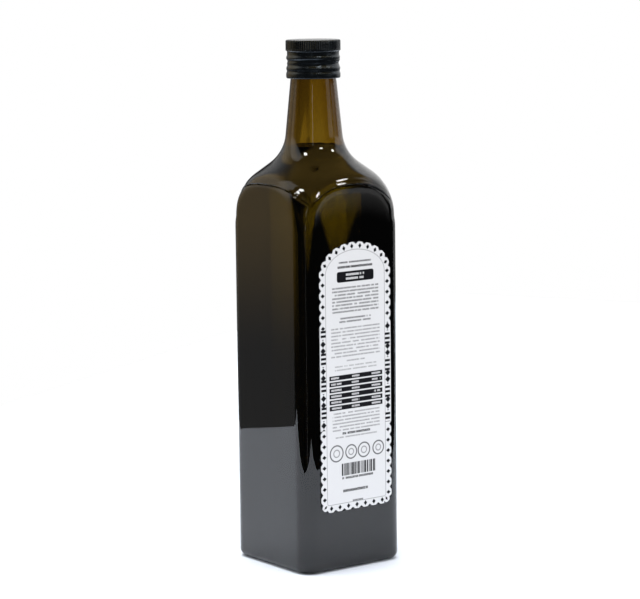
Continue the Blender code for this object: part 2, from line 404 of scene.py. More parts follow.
def shoulder_radius(z, inset):
    """Radius of the turned neck and shoulder at a height, on a surface parallel to the outer one."""
    hollow = NECK_FILLET_R + inset
    arc = DOME_ARC_R - inset
    dome_r = DOME_R - DOME_ARC_R
    if z >= FILLET_CENTRE_Z - hollow * sin(NECK_TAPER):
        return NECK_R + (NECK_TOP_Z - z) * tan(NECK_TAPER) - inset / cos(NECK_TAPER)
    if z >= FILLET_CENTRE_Z - hollow * sin(SHOULDER_SLOPE):
        return FILLET_CENTRE_R - sqrt(hollow**2 - (z - FILLET_CENTRE_Z) ** 2)
    if z >= DOME_WIDEST_Z + arc * sin(SHOULDER_SLOPE):
        top_r = dome_r + arc * cos(SHOULDER_SLOPE)
        return top_r - (z - DOME_WIDEST_Z - arc * sin(SHOULDER_SLOPE)) * tan(SHOULDER_SLOPE)
    if z >= DOME_WIDEST_Z:
        return dome_r + sqrt(arc**2 - (z - DOME_WIDEST_Z) ** 2)
    return dome_r + arc + (DOME_WIDEST_Z - z) * DOME_FLARE


def soft_min(a, b, width):
    """The smaller of two lengths, rounded where they are nearly equal."""
    near = max(width - abs(a - b), 0.0) / width
    return min(a, b) - near * near * width / 4


def smooth(share):
    share = min(max(share, 0.0), 1.0)
    return share * share * (3 - 2 * share)


def glass_radius(angle, z, inset):
    """Distance from the axis to the shoulder's surface, or to one set in from it."""
    walls = wall_reach(angle, BODY_HALF + SHOULDER_STEP - inset, CORNER_R + SHOULDER_STEP - inset)
    softness = EDGE_SOFTNESS + WALL_SOFTNESS * cos(2 * angle) ** 2
    return soft_min(shoulder_radius(z, inset), walls, softness)


def arch_z(angle):
    """Height of the ridge under the shoulder: an arch over each wall, meeting in a point near each corner."""
    fold = angle % pi
    fold = min(fold, pi - fold)
    foot = arch_foot_angle()
    share = fold / foot if fold <= foot else (pi / 2 - fold) / (pi / 2 - foot)
    return ARCH_TOP_Z - (ARCH_TOP_Z - ARCH_FOOT_Z) * share**ARCH_ROUNDNESS


def outer_inset(angle, z):
    """How far the outside lies in from the shoulder's skin: the step under the ridge, and the walls' lean."""
    below = arch_z(angle) - z
    step = SHOULDER_STEP * (1 - smooth(-below / STEP_HEIGHT))
    step += GROOVE_DEPTH * max(1 - ((below - GROOVE_DROP) / GROOVE_HALF) ** 2, 0.0) ** 2
    if below > 0:
        return step + LEAN_DEPTH * max(1 - below / LEAN_HEIGHT, 0.0) ** 2
    above = -below - STEP_HEIGHT
    crest = CREST_DEPTH * smooth(above / CREST_WIDTH) * (1 - smooth((above - CREST_WIDTH) / CREST_END))
    return step + crest + LEAN_DEPTH * (1 - smooth(-below / LEAN_END))


def ring_point(angle, radius, z):
    return radius * sin(angle), -radius * cos(angle), z


def round_ring(radius, z):
    return [ring_point(angle, radius, z) for angle in ANGLES]


def square_ring(half, corner, z):
    return [ring_point(angle, wall_reach(angle, half, corner), z) for angle in ANGLES]


def shaped_ring(height_of, inset_of):
    points = []
    for angle in ANGLES:
        z = height_of(angle)
        points.append(ring_point(angle, glass_radius(angle, z, inset_of(angle, z)), z))
    return points


def rings_between(low_of, high_of, steps, inset_of):
    """Evenly spaced rings from just above one height rule up to another."""
    rings = []
    for step in range(1, steps + 1):
        share = step / steps

        def height(angle):
            return low_of(angle) * (1 - share) + high_of(angle) * share

        rings.append(shaped_ring(height, inset_of))
    return rings


def level(z):
    return lambda angle: z


def heel_rings(half, corner, heel, floor_z, steps):
    """Rings of a rounded lower edge, from the floor up to the straight wall."""
    rings = []
    for step in range(steps):
        turn = pi / 2 * (1 - step / steps)
        inset = heel * (1 - cos(turn))
        rings.append(square_ring(half - inset, max(corner - inset, MM), floor_z + heel * (1 - sin(turn))))
    rings.append(square_ring(half, corner, floor_z + heel))
    return rings


def step_top_z(angle):
    return arch_z(angle) + STEP_HEIGHT


def crest_top_z(angle):
    return step_top_z(angle) + CREST_WIDTH


def groove_foot_z(angle):
    return arch_z(angle) - GROOVE_DROP - GROOVE_HALF


def lean_foot_z(angle):
    return arch_z(angle) - LEAN_HEIGHT


def outer_rings():
    """The bottle's outside, from the middle of the underside up to the lip."""
    rings = []
    for step in range(PUNT_STEPS + 1):
        share = step / PUNT_STEPS
        rings.append(round_ring(PUNT_R * share, PUNT_DEPTH * (1 - share**PUNT_ROUNDNESS)))
    rings += heel_rings(BODY_HALF, CORNER_R, HEEL_R, 0.0, 12)
    wall_top = level(ARCH_FOOT_Z - LEAN_HEIGHT - 2 * MM)
    rings += rings_between(level(HEEL_R), wall_top, 14, outer_inset)
    rings += rings_between(wall_top, lean_foot_z, 4, outer_inset)
    rings += rings_between(lean_foot_z, groove_foot_z, 18, outer_inset)
    rings += rings_between(groove_foot_z, arch_z, 18, outer_inset)
    rings += rings_between(arch_z, step_top_z, 8, outer_inset)
    rings += rings_between(step_top_z, crest_top_z, 6, outer_inset)
    rings += rings_between(crest_top_z, level(NECK_FOOT_Z), 50, outer_inset)
    for step in range(1, NECK_STEPS + 1):
        z = NECK_FOOT_Z + (NECK_TOP_Z - NECK_FOOT_Z) * step / NECK_STEPS
        rings.append(round_ring(shoulder_radius(z, 0.0), z))
    for step in range(LIP_STEPS + 1):
        turn = pi / 2 * step / LIP_STEPS
        rings.append(round_ring(NECK_R - LIP_ROUND * (1 - cos(turn)), LIP_Z - LIP_ROUND * (1 - sin(turn))))
    return rings


def cavity_rings(inset, floor_z, rim_z, wave):
    """The bottle's inside, or the oil in it, from the middle of the floor up to the oil's rim."""
    half = BODY_HALF + SHOULDER_STEP - inset
    corner = CORNER_R + SHOULDER_STEP - inset

    def inset_of(angle, z):
        return inset + wave(angle, z)

    rings = []
    for step in range(INNER_PUNT_STEPS):
        share = step / INNER_PUNT_STEPS
        rise = PUNT_DEPTH * INNER_PUNT_SHARE * (1 - share**2)
        rings.append(round_ring(PUNT_R * share, floor_z + rise))
    rings += heel_rings(half, corner, INNER_HEEL_R, floor_z, 10)

    def crease_z(angle):
        """Height where the inner dome meets the inner wall."""
        arc = DOME_ARC_R - inset
        share = (wall_reach(angle, half, corner) - (DOME_R - DOME_ARC_R)) / arc
        return DOME_WIDEST_Z + arc * sqrt(max(1.0 - share**2, 0.0))

    wall_top = level(DOME_WIDEST_Z - WALL_MARGIN)
    rings += rings_between(level(floor_z + INNER_HEEL_R), wall_top, 10, inset_of)
    rings += rings_between(wall_top, crease_z, 10, inset_of)
    rings += rings_between(crease_z, level(DOME_SPLIT_Z), 16, inset_of)
    rings += rings_between(level(DOME_SPLIT_Z), level(rim_z), 10, inset_of)
    return rings


# Two thicker runs down the neck's inside: angle and half width
DRIPS = ((radians(-8.0), radians(5.0)), (radians(14.0), radians(6.0)))
DRIP_LOW_Z = 250.0 * MM
DRIP_HIGH_Z = 274.0 * MM
DRIP_SHARE = 1.5
FLUTES_LOW_Z = 226.0 * MM
FLUTES_RISE = 14.0 * MM
FLUTES_LEAN = 9.0 * MM


def neck_wave(depth):
    """Rule for how uneven the neck's inner wall is: broad flutes that fade out in the shoulder."""

    def wave(angle, z):
        fade = smooth((z - FLUTES_LOW_Z) / FLUTES_RISE)
        flutes = 0.5 * sin(3 * angle + 0.6) + 0.3 * sin(7 * angle + 2.1)
        flutes += 0.2 * sin(13 * angle + z / FLUTES_LEAN)
        drips = 0.0
        for turn, width in DRIPS:
            off = (angle - turn + pi) % (2 * pi) - pi
            drips += max(1 - (off / width) ** 2, 0.0) ** 2
        drips *= smooth((z - DRIP_LOW_Z) / (8 * MM)) * smooth((DRIP_HIGH_Z - z) / (6 * MM))
        return depth * (fade * flutes + DRIP_SHARE * drips)

    return wave


def skin(name, rings, wet=None):
    """Closed smooth piece through rings of equal length: a grid, rolled up and shaped row by row.

    wet says of each ring whether oil and glass touch there, and is kept as an attribute.
    """
    columns = len(rings[0])
    clear_selection()
    bpy.ops.mesh.primitive_grid_add(x_subdivisions=columns, y_subdivisions=len(rings) - 1, size=1.0)
    piece = bpy.context.object
    piece.name = piece.data.name = name
    count = len(piece.data.vertices)
    flat = np.empty(count * 3)
    piece.data.vertices.foreach_get("co", flat)
    flat = flat.reshape(-1, 3)
    column = np.rint((flat[:, 0] + 0.5) * columns).astype(int) % columns
    row = np.rint((flat[:, 1] + 0.5) * (len(rings) - 1)).astype(int)
    placed = np.array(rings)[row, column]
    piece.data.vertices.foreach_set("co", placed.ravel())
    if wet:
        layer = piece.data.attributes.new("wet", "FLOAT", "POINT")
        layer.data.foreach_set("value", np.array(wet, dtype=float)[row])
    bpy.ops.object.mode_set(mode="EDIT")
    bpy.ops.mesh.select_all(action="SELECT")
    bpy.ops.mesh.remove_doubles(threshold=0.00001)
    bpy.ops.mesh.normals_make_consistent(inside=False)
    bpy.ops.object.mode_set(mode="OBJECT")
    bpy.ops.object.shade_smooth_by_angle(angle=radians(40))
    return piece


def dress(piece, material, node):
    """Gives a finished piece its material and its place in the frame."""
    piece.data.materials.clear()
    piece.data.materials.append(material)
    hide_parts(node)
    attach(piece, "root")


# What glass and oil have where they touch: light goes straight on
OPEN = ("ShaderNodeBsdfTransparent",)
UNBENT = (
    "ShaderNodeBsdfPrincipled",
    None,
    {"Base Color": WHITE, "Roughness": 0.0, "IOR": 1.0, "Transmission Weight": 1.0},
)


def clear_liquid(name, tint, density, ior, passing):
    """Clear material that takes up light inside: glass or oil, with another surface where the two touch."""
    material = bpy.data.materials.new(name)
    graph = Graph(material)
    vector = graph.place()
    smear = graph.noise(vector, 35.0, 3.0)
    surface = graph.node(
        "ShaderNodeBsdfPrincipled",
        None,
        {
            "Base Color": WHITE,
            "Roughness": graph.ramp(smear, 0.55, 0.8) * 0.03,
            "IOR": ior,
            "Transmission Weight": 1.0,
            "Normal": graph.bump(graph.noise(vector, 60.0, 1.0), 0.25, 0.03 * MM),
        },
    )
    wet = graph.node("ShaderNodeAttribute", {"attribute_name": "wet"}, output="Fac")
    sockets = {0: graph.ramp(wet, 0.9, 1.0), 1: surface, 2: graph.node(*passing)}
    both = graph.node("ShaderNodeMixShader", None, sockets)
    volume = graph.node("ShaderNodeVolumeAbsorption", None, {"Color": (*tint, 1.0), "Density": density})
    graph.node("ShaderNodeOutputMaterial", None, {"Surface": both, "Volume": volume})
    return material


class BOTTLE_OT_glass(bpy.types.Operator):
    """Makes the glass: walls, domed shoulder, neck and mouth"""

    bl_idname = "bottle.glass"
    bl_label = "Glass"

    def execute(self, context):
        settings = context.scene.bottle_glass
        rings = outer_rings()
        for step in range(MOUTH_STEPS + 1):
            turn = pi / 2 * (1 - step / MOUTH_STEPS)
            radius = MOUTH_R + LIP_ROUND * (1 - cos(turn))
            rings.append(round_ring(radius, LIP_Z - LIP_ROUND * (1 - sin(turn))))
        rings.append(round_ring(MOUTH_R, NECK_TOP_Z))
        inset = SHOULDER_STEP + settings.wall
        wave = neck_wave(settings.streaks)
        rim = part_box("oil")[1].z + context.scene.bottle_oil.meniscus
        wetted = cavity_rings(inset, FLOOR_Z, rim, wave)

        def neck_inset(angle, z):
            return inset + wave(angle, z)

        dry = rings_between(level(rim), level(NECK_FOOT_Z), NECK_STEPS, neck_inset)
        rings += reversed(dry)
        wet = [0.0] * len(rings) + [1.0] * len(wetted)
        rings += reversed(wetted)
        piece = skin("bottle_glass", rings, wet)
        material = clear_liquid("dark_glass", settings.clear, settings.density, 1.52, OPEN)
        dress(piece, material, "glass_bottle")
        return {"FINISHED"}


class BOTTLE_OT_oil(bpy.types.Operator):
    """Makes the oil, which reaches just into the glass, with its level drawn up at the wall"""

    bl_idname = "bottle.oil"
    bl_label = "Oil"

    def execute(self, context):
        settings = context.scene.bottle_oil
        glass = context.scene.bottle_glass
        inset = SHOULDER_STEP + glass.wall - OIL_REACH
        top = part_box("oil")[1].z
        rim = top + settings.meniscus
        rings = cavity_rings(inset, FLOOR_Z - OIL_REACH, rim, neck_wave(glass.streaks))
        wet = [1.0] * len(rings)
        edge = shoulder_radius(rim, inset)
        for step in range(1, SURFACE_STEPS + 1):
            radius = edge * (1 - (step / SURFACE_STEPS) ** SURFACE_SPACING)
            z = top + settings.meniscus * exp((radius - edge) / MENISCUS_FALL)
            rings.append(round_ring(radius, z))
            wet.append(0.0)
        piece = skin("olive_oil", rings, wet)
        material = clear_liquid("oil", settings.clear, settings.density, 1.47, UNBENT)
        dress(piece, material, "oil")
        return {"FINISHED"}


# Cap's outline below the grip, downwards: radius and height above its lower edge, in mm
CAP_BEADS = (
    (15.74, 15.75), (15.3, 15.6), (15.08, 15.4), (15.02, 15.0),
    (15.0, 14.2), (15.0, 13.5), (15.04, 13.1), (15.17, 12.7), (15.34, 12.35),
    (15.43, 12.0), (15.45, 11.6), (15.4, 11.2), (15.26, 10.7), (15.08, 10.25),
    (14.93, 9.8), (14.84, 9.3), (14.82, 8.7), (14.86, 8.1), (14.93, 7.5), (15.02, 7.0),
    (15.2, 6.6), (15.38, 6.25), (15.48, 5.9), (15.5, 5.5), (15.44, 5.1), (15.33, 4.7), (15.22, 4.3),
    (15.19, 4.0), (15.24, 3.7), (15.36, 3.35), (15.5, 3.0), (15.59, 2.65),
    (15.63, 2.2), (15.63, 1.6), (15.6, 1.0), (15.53, 0.5), (15.4, 0.15), (15.2, 0.0),
)
KNURL_LOW = 16.2 * MM
KNURL_ROWS = 10
TOOTH_COLUMNS = 8
THREAD_LOW = 6.9 * MM
THREAD_HIGH = 12.0 * MM
THREAD_PITCH = 3.2 * MM
THREAD_DEPTH = 0.22 * MM


def cap_radius(radius, height, angle, teeth, groove):
    """Cap's radius with its grooves in the grip and the thread that its skirt is rolled into."""
    low = smooth((height - KNURL_LOW) / (0.6 * MM))
    high = smooth((CAP_HEIGHT - height) / (0.6 * MM))
    grip = low * high if radius > 14.9 * MM else 0.0
    tooth = abs(((angle * teeth / (2 * pi)) % 1.0) - 0.5) * 2
    cut = groove * grip * smooth((0.55 - tooth) / 0.55)
    inside = smooth((height - THREAD_LOW) / MM) * smooth((THREAD_HIGH - height) / MM)
    turn = (height / THREAD_PITCH - angle / (2 * pi)) % 1.0
    thread = THREAD_DEPTH * inside * cos(2 * pi * turn) if radius > 14.6 * MM else 0.0
    return radius - cut + thread


def enamel_material(colour):
    """Satin black enamel on metal, a little cloudy, with a fine grain."""
    material = bpy.data.materials.new("cap_enamel")
    graph = Graph(material)
    vector = graph.place()
    grain = graph.noise(vector, 3500.0, 2.0)
    cloud = graph.noise(vector, 240.0, 3.0)
    pale = [part * 1.9 for part in colour]
    surface = graph.node(
        "ShaderNodeBsdfPrincipled",
        None,
        {
            "Base Color": graph.mix(graph.ramp(cloud, 0.45, 0.75), (*colour, 1.0), (*pale, 1.0)),
            "Roughness": 0.2 + cloud * 0.12,
            "Specular IOR Level": 0.5,
            "Specular Tint": (0.72, 0.87, 1.0, 1.0),
            "Normal": graph.bump(grain, 0.3, 0.04 * MM),
        },
    )
    graph.node("ShaderNodeOutputMaterial", None, {"Surface": surface})
    return material


class BOTTLE_OT_cap(bpy.types.Operator):
    """Makes the rolled metal screw cap: grooved grip, beads, thread and curled edge"""

    bl_idname = "bottle.cap"
    bl_label = "Cap"

    def execute(self, context):
        settings = context.scene.bottle_cap
        columns = settings.teeth * TOOTH_COLUMNS
        profile = [(0.0, CAP_HEIGHT), (7.0 * MM, CAP_HEIGHT), (12.5 * MM, CAP_HEIGHT)]
        edge_z = CAP_HEIGHT - CAP_EDGE_R
        for step in range(CAP_EDGE_STEPS + 1):
            turn = pi / 2 * step / CAP_EDGE_STEPS
            profile.append((CAP_R - CAP_EDGE_R * (1 - sin(turn)), edge_z + CAP_EDGE_R * cos(turn)))
        for step in range(1, KNURL_ROWS + 1):
            profile.append((CAP_R, edge_z + (KNURL_LOW - edge_z) * step / KNURL_ROWS))
        profile += [(radius * MM, height * MM) for radius, height in CAP_BEADS]
        profile += [(14.4 * MM, 0.0), (CAP_BORE_R, 0.5 * MM), (CAP_BORE_R, 10.0 * MM)]
        ceiling = CAP_HEIGHT - CAP_SHEET
        profile += [(CAP_BORE_R, ceiling - 0.5 * MM), (CAP_BORE_R - 0.5 * MM, ceiling), (0.0, ceiling)]
        rings = []
        for radius, height in profile:
            ring = []
            for column in range(columns):
                angle = 2 * pi * column / columns
                reach = cap_radius(radius, height, angle, settings.teeth, settings.groove)
                ring.append(ring_point(angle, reach, CAP_BOTTOM_Z + height))
            rings.append(ring)
        piece = skin("screw_cap", rings)
        dress(piece, enamel_material(settings.enamel), "cap")
        piece.visible_glossy = False
        return {"FINISHED"}


def label_outline():
    """The label's outline as points in x and z, anticlockwise seen from the front."""
    points = []
    low = LABEL_LOW.z
    for side, start in ((1, -pi / 2), (-1, pi)):
        corner = []
        for step in range(13):
            turn = start + pi / 2 * step / 12
            x = side * (LABEL_HALF - LABEL_CORNER_R) + LABEL_CORNER_R * cos(turn)
            corner.append((x, low + LABEL_CORNER_R + LABEL_CORNER_R * sin(turn)))
        points.append(corner)
    rise = LABEL_HIGH.z - LABEL_SPRING_Z
    arch = []
    for step in range(65):
        turn = pi * step / 64
        arch.append((LABEL_HALF * cos(turn), LABEL_SPRING_Z + rise * sin(turn)))
    sides = 24
    low_z = low + LABEL_CORNER_R
    right = [(LABEL_HALF, low_z + (LABEL_SPRING_Z - low_z) * i / sides) for i in range(1, sides)]
    left = [(-LABEL_HALF, z) for x, z in reversed(right)]
    return points[0] + right + arch + left + points[1]


class Print:
    """The label's print as masks in millimetres: x across from the middle, z up from the base."""

    def __init__(self, graph):
        self.graph = graph
        self.vector = graph.place()
        x, y, z = graph.split(self.vector)
        self.x = (x - LABEL_CENTRE_X) / MM
        self.z = z / MM
        self.edge = 0.12

    def box(self, x0, x1, z0, z1, corner=0.0):
        """A block with rounded corners."""
        graph = self.graph
        across = ((self.x - (x0 + x1) / 2).abs() - ((x1 - x0) / 2 - corner)).at_least(0.0)
        up = ((self.z - (z0 + z1) / 2).abs() - ((z1 - z0) / 2 - corner)).at_least(0.0)
        distance = (across * across + up * up).sqrt()
        return 1 - graph.ramp(distance, corner, corner + self.edge)

    def ring(self, x, z, radius, line):
        graph = self.graph
        across = self.x - x
        up = self.z - z
        distance = ((across * across + up * up).sqrt() - radius).abs()
        return 1 - graph.ramp(distance, line, line + self.edge)

    def rows(self, x0, x1, z0, z1, pitch, height, weight, seed):
        """Rows of short dashes in place of words."""
        graph = self.graph
        row = (self.z - z0) / pitch
        index = row.floor()
        half = height / pitch / 2
        line = 1 - graph.ramp((row.fract() - 0.5).abs(), half, half + 0.06)
        words = graph.noise(graph.join(self.x / 1.9, index * 7.31 + seed, 0.0), 1.0, 1.0)
        letters = graph.noise(graph.join(self.x / 0.42, self.z / 0.7, seed), 1.0, 1.0)
        broken = graph.ramp(words, 0.36, 0.42) * (0.45 + 0.55 * graph.ramp(letters, 0.3, 0.6))
        inside = self.box(x0, x1, z0, z1)
        return line * broken * inside * weight


def label_material(paper, ink):
    """White satin paper with a black border of lozenges and stripes, and rows of grey dashes."""
    material = bpy.data.materials.new("label_print")
    graph = Graph(material)
    page = Print(graph)
    marks = [
        page.rows(-11.5, 11.5, 177.9, 179.6, 1.7, 0.9, 0.85, 1.0),
        page.rows(-12.5, 12.5, 175.2, 177.0, 1.8, 1.2, 1.0, 2.0),
        page.rows(-16.5, 16.8, 149.6, 165.2, 1.95, 0.9, 0.7, 3.0),
        page.rows(-11.5, 11.0, 143.8, 147.7, 1.95, 0.9, 0.75, 4.0),
        page.rows(-17.5, 17.5, 124.0, 142.0, 2.0, 0.75, 0.55, 5.0),
        page.rows(-6.5, 6.5, 121.2, 123.2, 2.0, 0.75, 0.5, 6.0),
        page.rows(-15.0, 15.0, 116.2, 120.2, 2.0, 0.7, 0.45, 7.0),
        page.rows(-17.0, 17.0, 81.4, 93.1, 1.95, 0.75, 0.55, 8.0),
        page.rows(-10.0, 10.0, 79.3, 81.2, 1.9, 1.2, 0.95, 9.0),
        page.rows(-15.0, 15.0, 77.2, 79.1, 1.9, 0.75, 0.5, 10.0),
        page.rows(-10.5, 12.0, 53.2, 55.0, 1.8, 1.2, 0.9, 11.0),
        page.rows(-10.0, 8.0, 45.6, 47.6, 2.0, 1.4, 0.95, 12.0),
        page.rows(-3.0, 5.0, 39.3, 41.0, 1.7, 1.0, 0.8, 13.0),
    ]
    solid = [page.box(-13.0, 13.4, 167.5, 173.5, 1.3)]
    light = [page.rows(-6.5, 6.5, 168.2, 172.8, 2.3, 1.1, 0.9, 14.0)]
    row = (page.z - 93.7) / 3.48
    bars = 1 - graph.ramp((row.fract() - 0.5).abs(), 0.36, 0.40)
    solid.append(bars * page.box(-19.0, 19.2, 93.7, 114.5, 0.3))
    light.append(page.rows(-17.8, -10.5, 93.7, 114.58, 3.48, 0.9, 0.85, 15.0))
    light.append(page.rows(11.5, 17.8, 93.7, 114.58, 3.48, 0.9, 0.85, 16.0))
    light.append(page.rows(-3.0, 2.5, 93.7, 114.58, 3.48, 0.9, 0.8, 17.0))
    stripe = graph.noise(graph.join(page.x / 0.75, 3.0, 5.0), 1.0, 2.0, 0.7)
    solid.append(graph.ramp(stripe, 0.46, 0.5) * page.box(-10.8, 13.5, 55.6, 62.6))
    for x, radius in ((-14.4, 4.6), (-3.9, 3.9), (5.4, 4.2), (15.9, 3.9)):
        marks.append(page.ring(x, 69.0, radius, 0.35) * 0.8)
        marks.append(page.ring(x, 69.0, radius * 0.45, 0.3) * 0.55)

    place = graph.node("ShaderNodeUVMap", {"uv_map": "border"})
    along, depth = [part / MM for part in graph.split(place)[:2]]

    def lozenge(pitch, shift, centre, half_along, half_depth):
        beat = ((along / pitch + shift).fract() - 0.5).abs() * (pitch / half_along)
        reach = (depth - centre).abs() / half_depth
        return 1 - graph.ramp(beat + reach, 0.92, 1.08)

    band = 1 - graph.ramp(depth, LABEL_BAND / MM - 0.12, LABEL_BAND / MM)
    middle = graph.ramp(page.z, 83.0, 83.4) * (1 - graph.ramp(page.z, 141.0, 141.4))
    pitch = 6.2
    diamonds = lozenge(pitch, 0.0, 2.3, 1.25, 1.5).at_least(lozenge(pitch, 0.5, 0.0, 1.7, 1.3))
    stripes = 1 - graph.ramp(((along / 2.6).fract() - 0.5).abs(), 0.24, 0.3)
    stripes = stripes * graph.ramp(depth, 0.5, 0.7)
    blocks = graph.ramp((along / 15.6 + 0.3).fract(), 0.5, 0.51)
    woven = blocks * stripes + (1 - blocks) * lozenge(3.9, 0.0, 2.2, 1.9, 1.9)
    border = (diamonds * (1 - middle) + woven * middle) * band
    line = 1 - graph.ramp((depth - LABEL_BAND / MM).abs(), 0.1, 0.25)

    cover = border.at_least(line * 0.55)
    for mark in marks + solid:
        cover = cover.at_least(mark)
    for mark in light:
        cover = cover * (1 - mark)
    mottle = graph.noise(page.vector, 900.0, 3.0)
    shade = graph.mix(mottle, (*[part * 0.965 for part in paper], 1.0), (*paper, 1.0))
    fibre = graph.noise(page.vector, 5200.0, 3.0)
    surface = graph.node(
        "ShaderNodeBsdfPrincipled",
        None,
        {
            "Base Color": graph.mix(cover, shade, (*ink, 1.0)),
            "Roughness": 0.5 - cover * 0.12,
            "Specular IOR Level": 0.12,
            "Normal": graph.bump(fibre, 0.2, 0.03 * MM),
        },
    )
    graph.node("ShaderNodeOutputMaterial", None, {"Surface": surface})
    return material


class BOTTLE_OT_label(bpy.types.Operator):
    """Makes the printed paper label on the front wall"""

    bl_idname = "bottle.label"
    bl_label = "Label"

    def execute(self, context):
        settings = context.scene.bottle_label
        outline = label_outline()
        clear_selection()
        bpy.ops.mesh.primitive_circle_add(vertices=len(outline), radius=1.0, fill_type="NGON")
        piece = context.object
        piece.name = piece.data.name = "paper_label"
        front = LABEL_LOW.y
        for vertex, (x, z) in zip(piece.data.vertices, outline):
            vertex.co = (LABEL_CENTRE_X + x, front, z)
        bpy.ops.object.mode_set(mode="EDIT")
        bpy.ops.mesh.select_all(action="SELECT")
        bpy.ops.mesh.normals_make_consistent(inside=False)
        bpy.ops.mesh.inset(thickness=BORDER_DEPTH, depth=0.0)
        bpy.ops.object.mode_set(mode="OBJECT")
        self.mark_border(piece.data, outline)
        thick = piece.modifiers.new("thickness", "SOLIDIFY")
        thick.thickness = LABEL_HIGH.y - LABEL_LOW.y
        thick.offset = -1.0 if piece.data.polygons[0].normal.y < 0 else 1.0
        bpy.ops.object.modifier_apply(modifier=thick.name)
        material = label_material(settings.paper, settings.ink)
        dress(piece, material, "label")
        return {"FINISHED"}

    def mark_border(self, mesh, outline):
        """Writes how far each point lies along the outline and in from it."""
        points = np.array([(LABEL_CENTRE_X + x, z) for x, z in outline])
        steps = np.hypot(*(np.roll(points, -1, axis=0) - points).T)
        along = np.concatenate([[0.0], np.cumsum(steps)])
        total = along[-1]
        layer = mesh.uv_layers.new(name="border")
        for face in mesh.polygons:
            ring_face = len(face.vertices) == 4
            places = []
            for index in face.vertices:
                co = mesh.vertices[index].co
                gaps = np.hypot(points[:, 0] - co.x, points[:, 1] - co.z)
                nearest = int(np.argmin(gaps))
                depth = 0.0 if gaps[nearest] < 1e-6 else BORDER_DEPTH
                places.append([along[nearest], depth])
            if ring_face and max(p[0] for p in places) - min(p[0] for p in places) > total / 2:
                for place in places:
                    place[0] += total if place[0] < total / 2 else 0.0
            for loop, place in zip(face.loop_indices, places):
                layer.data[loop].uv = place if ring_face else (place[0], 2 * BORDER_DEPTH)


CAMERA_AZIMUTH = radians(-36.864)
CAMERA_DISTANCE = 1425.716 * MM
CAMERA_HEIGHT = 356.598 * MM
CAMERA_PITCH = radians(8.129)
CAMERA_YAW = radians(0.097)
CAMERA_ROLL = radians(-0.629)


def make_camera(lens):
    """Camera at the photograph's viewing angle."""
    ahead = Vector((-sin(CAMERA_AZIMUTH), cos(CAMERA_AZIMUTH), 0.0))
    side = Vector((cos(CAMERA_AZIMUTH), sin(CAMERA_AZIMUTH), 0.0))
    up = Vector((0.0, 0.0, 1.0))
    turned = ahead * cos(CAMERA_YAW) + side * sin(CAMERA_YAW)
    side = side * cos(CAMERA_YAW) - ahead * sin(CAMERA_YAW)
    view = turned * cos(CAMERA_PITCH) - up * sin(CAMERA_PITCH)
    lift = up * cos(CAMERA_PITCH) + turned * sin(CAMERA_PITCH)
    right = side * cos(CAMERA_ROLL) + lift * sin(CAMERA_ROLL)
    top = lift * cos(CAMERA_ROLL) - side * sin(CAMERA_ROLL)
    data = bpy.data.cameras.new("camera")
    data.lens = lens
    data.sensor_width = 36.0
    camera = bpy.data.objects.new("camera", data)
    turn = Matrix((right, top, -view)).transposed().to_4x4()
    place = (CAMERA_DISTANCE * sin(CAMERA_AZIMUTH), -CAMERA_DISTANCE * cos(CAMERA_AZIMUTH), CAMERA_HEIGHT)
    camera.matrix_world = Matrix.Translation(place) @ turn
    bpy.context.scene.collection.objects.link(camera)
    bpy.context.scene.camera = camera


FLOOR_CORNER = Vector((-140.0 * MM, -423.0 * MM, 0.0))
FLOOR_TURN = radians(28.5)
FLOOR_SIZE = (1380.0 * MM, 736.0 * MM)


def make_floor(colour):
    """Pale sheet that the bottle stands on."""
    clear_selection()
    bpy.ops.mesh.primitive_plane_add(size=1.0)
    sheet = bpy.context.object
    sheet.name = "floor"
    along = Vector((cos(FLOOR_TURN), sin(FLOOR_TURN), 0.0))
    across = Vector((-sin(FLOOR_TURN), cos(FLOOR_TURN), 0.0))
    for vertex in sheet.data.vertices:
        u = vertex.co.x + 0.5
        v = vertex.co.y + 0.5
        vertex.co = FLOOR_CORNER + along * (u * FLOOR_SIZE[0]) + across * (v * FLOOR_SIZE[1])
    material = bpy.data.materials.new("pale_floor")
    graph = Graph(material)
    cloud = graph.noise(graph.place(), 6.0, 2.0)
    shade = graph.mix(cloud, (*[part * 0.98 for part in colour], 1.0), (*colour, 1.0))
    surface = graph.node("ShaderNodeBsdfPrincipled", None, {"Base Color": shade, "Roughness": 0.8})
    graph.node("ShaderNodeOutputMaterial", None, {"Surface": surface})
    sheet.data.materials.append(material)
    sheet.visible_transmission = False


# Cards seen only through the glass, which paint shade and glow into it
CARD_GAP = 2.0 * MM
CARD_TOP_Z = 216.0 * MM
# Black of the cards: painted shade seen through the glass
PAINTED_SHADE_BLACK = (0.003, 0.003, 0.003, 1.0)
CARD_ROUGHNESS = 0.95
# Strength of the side card's painted glow
PAINTED_GLOW_BRIGHTNESS = 0.55


def make_card(name, low, high, painted_light):
    """Upright card close behind the bottle, seen only through its glass; its shader is painted light: painted
    shade on the back card, a painted glow on the side card.
    """
    clear_selection()
    bpy.ops.mesh.primitive_plane_add(size=1.0)
    card = bpy.context.object
    card.name = name
    for vertex in card.data.vertices:
        x = low[0] if vertex.co.x < 0 else high[0]
        y = low[1] if vertex.co.x < 0 else high[1]
        z = low[2] if vertex.co.y < 0 else high[2]
        vertex.co = (x, y, z)
    material = bpy.data.materials.new(name)
    graph = Graph(material)
    x, y, z = graph.split(graph.place())
    surface = painted_light(graph, x / MM, y / MM, z / MM)
    graph.node("ShaderNodeOutputMaterial", None, {"Surface": surface})
    card.data.materials.append(material)
    card.visible_camera = False
    card.visible_diffuse = False
    card.visible_glossy = False
    card.visible_shadow = False


